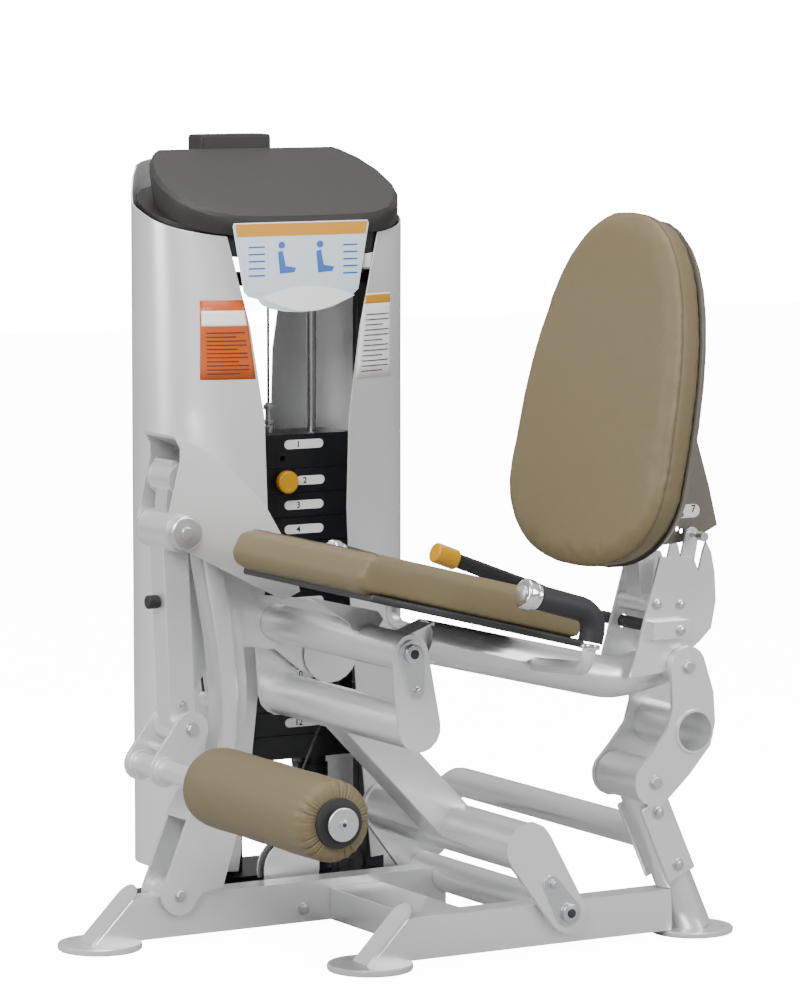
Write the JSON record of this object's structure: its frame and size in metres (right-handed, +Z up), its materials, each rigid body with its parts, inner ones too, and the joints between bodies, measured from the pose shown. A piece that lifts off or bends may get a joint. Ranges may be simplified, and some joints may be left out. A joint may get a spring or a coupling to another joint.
{
  "type": "leg extension machine",
  "caption": "Selectorised leg extension machine: rocking seat, padded swing roller, adjustable back rest and a shrouded weight stack.",
  "frame": {"origin": "middle of the machine's footprint, on the floor", "axes": "+X from the weight tower towards the user's left, -Y the way the user faces, +Z up"},
  "size_m": [1.1855, 1.155, 1.437],
  "materials": {
    "silver_paint": "satin metallic silver powder coat",
    "shroud_paint": "satin metallic silver powder coat",
    "cap_plastic": "fine-grained dark grey moulding",
    "placard": "printed panel",
    "black_paint": "satin black",
    "chrome": "polished",
    "zinc": "zinc plated",
    "cable": "black nylon-coated wire rope",
    "pulley_nylon": "moulded nylon",
    "vinyl": "tan grained vinyl",
    "rubber": "matte moulded rubber",
    "yellow": "moulded yellow",
    "taupe_paint": "satin taupe powder coat"
  },
  "bodies": {
    "base": {"base_rail_inner": "silver_paint", "base_rail_outer": "silver_paint", "base_cross_tube": "silver_paint", "front_pivot_tube": "silver_paint", "rear_post": "silver_paint", "rear_brace_tube": "silver_paint", "tower_frame": "black_paint", "shroud_wing_front": "shroud_paint", "shroud_wing_rear": "shroud_paint", "tower_cap": "cap_plastic", "placard": "placard", "guide_rod_front": "chrome", "guide_rod_rear": "chrome", "weight_plates_resting": "black_paint", "lift_cable_front": "cable", "lift_cable_rear": "cable", "base_pulley_guard": "silver_paint"},
    "top_pulley_front": {"top_pulley_front": "pulley_nylon"},
    "top_pulley_rear": {"top_pulley_rear": "pulley_nylon"},
    "low_pulley": {"low_pulley": "pulley_nylon"},
    "base_pulley": {"base_pulley": "pulley_nylon"},
    "lifted_weights": {"weight_plate_second": "black_paint", "head_plate": "black_paint", "selector_rod": "zinc"},
    "selector": {"selector_pin": "zinc", "selector_knob": "yellow"},
    "front_rocker": {"front_rocker": "silver_paint"},
    "seat": {"seat_tube": "silver_paint", "front_hood": "silver_paint", "seat_side_plate": "silver_paint", "rear_brackets": "silver_paint", "seat_board": "pulley_nylon", "seat_pad": "vinyl", "handle_grip_left": "rubber", "handle_grip_right": "rubber", "handle_cap_left": "chrome", "handle_cap_right": "chrome", "arm_pivot_pin": "zinc", "drive_cable": "cable"},
    "seat_pulley": {"seat_pulley": "pulley_nylon"},
    "link_pulley": {"link_pulley": "pulley_nylon"},
    "lever_arm": {"lever_arm": "silver_paint", "arm_bumper": "rubber"},
    "roller_swing": {"roller_bracket": "silver_paint", "swing_pin": "zinc", "roller_end_cap": "zinc"},
    "roller": {"roller_pad": "vinyl", "roller_sleeve": "rubber"},
    "ground_link": {"ground_link": "silver_paint", "link_base_pin": "zinc"},
    "rear_rocker": {"rear_rocker": "silver_paint", "rear_low_pin": "zinc", "rear_top_pin": "zinc"},
    "back_rest": {"back_pad": "vinyl", "back_shell": "taupe_paint", "back_frame": "silver_paint", "back_sector_plate": "taupe_paint"},
    "lock_pin": {"lock_pin": "zinc"},
    "release_lever": {"release_lever": "rubber", "lever_yellow_tip": "yellow"}
  },
  "joints": [
    {"name": "front_rock", "type": "hinge", "parent": "base", "child": "front_rocker", "pos_m": [-0.1667, 0.2065, 0.071], "axis": [-1, 0, 0], "range_deg": [0, 9]},
    {"name": "seat_tilt", "type": "hinge", "parent": "front_rocker", "child": "seat", "pos_m": [-0.1667, -0.1145, 0.558], "axis": [-1, 0, 0], "range_deg": [-0.67, 0]},
    {"name": "arm_swing", "type": "hinge", "parent": "seat", "child": "lever_arm", "pos_m": [-0.1667, -0.3595, 0.746], "axis": [-1, 0, 0], "range_deg": [0, 84.8]},
    {"name": "ground_link_swing", "type": "hinge", "parent": "base", "child": "ground_link", "pos_m": [-0.1667, -0.3605, 0.089], "axis": [-1, 0, 0], "range_deg": [0, 15.2]},
    {"name": "rear_rock", "type": "hinge", "parent": "base", "child": "rear_rocker", "pos_m": [-0.1667, 0.3735, 0.295], "axis": [-1, 0, 0], "range_deg": [0, 20.2]},
    {"name": "roller_swing", "type": "hinge", "parent": "lever_arm", "child": "roller_swing", "pos_m": [-0.1667, -0.3405, 0.39], "axis": [-1, 0, 0], "range_deg": [0, 55]},
    {"name": "roller_spin", "type": "hinge", "parent": "roller_swing", "child": "roller", "pos_m": [0.2833, -0.3945, 0.3205], "axis": [1, 0, 0], "continuous": true},
    {"name": "stack_lift", "type": "slide", "parent": "base", "child": "lifted_weights", "axis": [0, 0, 1], "range_m": [0, 0.2005], "deforming": ["lift_cable_front"]},
    {"name": "selector_pull", "type": "slide", "parent": "lifted_weights", "child": "selector", "axis": [1, 0, 0], "range_m": [0, 0.068]},
    {"name": "top_pulley_front_spin", "type": "hinge", "parent": "base", "child": "top_pulley_front", "pos_m": [-0.40366, 0.01112, 1.225], "axis": [-0.7158, 0.6983, 0], "continuous": true},
    {"name": "top_pulley_rear_spin", "type": "hinge", "parent": "base", "child": "top_pulley_rear", "pos_m": [-0.32974, 0.08688, 1.225], "axis": [-0.7158, 0.6983, 0], "continuous": true},
    {"name": "low_pulley_spin", "type": "hinge", "parent": "base", "child": "low_pulley", "pos_m": [-0.29427, 0.07993, 0.081], "axis": [0.9263, 0.3768, 0], "continuous": true},
    {"name": "base_pulley_spin", "type": "hinge", "parent": "base", "child": "base_pulley", "pos_m": [-0.2282, -0.0825, 0.097], "axis": [1, 0, 0], "continuous": true},
    {"name": "seat_pulley_spin", "type": "hinge", "parent": "seat", "child": "seat_pulley", "pos_m": [-0.2237, -0.0045, 0.495], "axis": [1, 0, 0], "continuous": true},
    {"name": "link_pulley_spin", "type": "hinge", "parent": "seat", "child": "link_pulley", "pos_m": [-0.2237, -0.2325, 0.572], "axis": [1, 0, 0], "continuous": true},
    {"name": "back_angle", "type": "hinge", "parent": "seat", "child": "back_rest", "pos_m": [0.2333, 0.3845, 0.611], "axis": [1, 0, 0], "range_deg": [-24, 0]},
    {"name": "release_squeeze", "type": "hinge", "parent": "seat", "child": "release_lever", "pos_m": [0.1333, 0.3835, 0.572], "axis": [-1, 0, 0], "range_deg": [0, 8], "stiffness_Nm_per_rad": 2, "springref_deg": -11.46},
    {"name": "lock_pull", "type": "slide", "parent": "seat", "child": "lock_pin", "axis": [1, 0, 0], "range_m": [0, 0.012]}
  ],
  "couplings": [
    {"joint": "seat_tilt", "follows": "front_rock", "ratio": -0.0732},
    {"joint": "arm_swing", "follows": "front_rock", "ratio": 9.4055},
    {"joint": "ground_link_swing", "follows": "front_rock", "ratio": 1.6724},
    {"joint": "rear_rock", "follows": "front_rock", "ratio": 2.225},
    {"joint": "stack_lift", "follows": "front_rock", "m_per_rad": 1.2732},
    {"joint": "lock_pull", "follows": "release_squeeze", "m_per_rad": 0.0845},
    {"joint": "top_pulley_front_spin", "follows": "front_rock", "ratio": 38.583},
    {"joint": "top_pulley_rear_spin", "follows": "front_rock", "ratio": 38.583},
    {"joint": "low_pulley_spin", "follows": "front_rock", "ratio": 38.583},
    {"joint": "base_pulley_spin", "follows": "front_rock", "ratio": -25.984},
    {"joint": "seat_pulley_spin", "follows": "front_rock", "ratio": 27.09},
    {"joint": "link_pulley_spin", "follows": "front_rock", "ratio": 27.09}
  ]
}
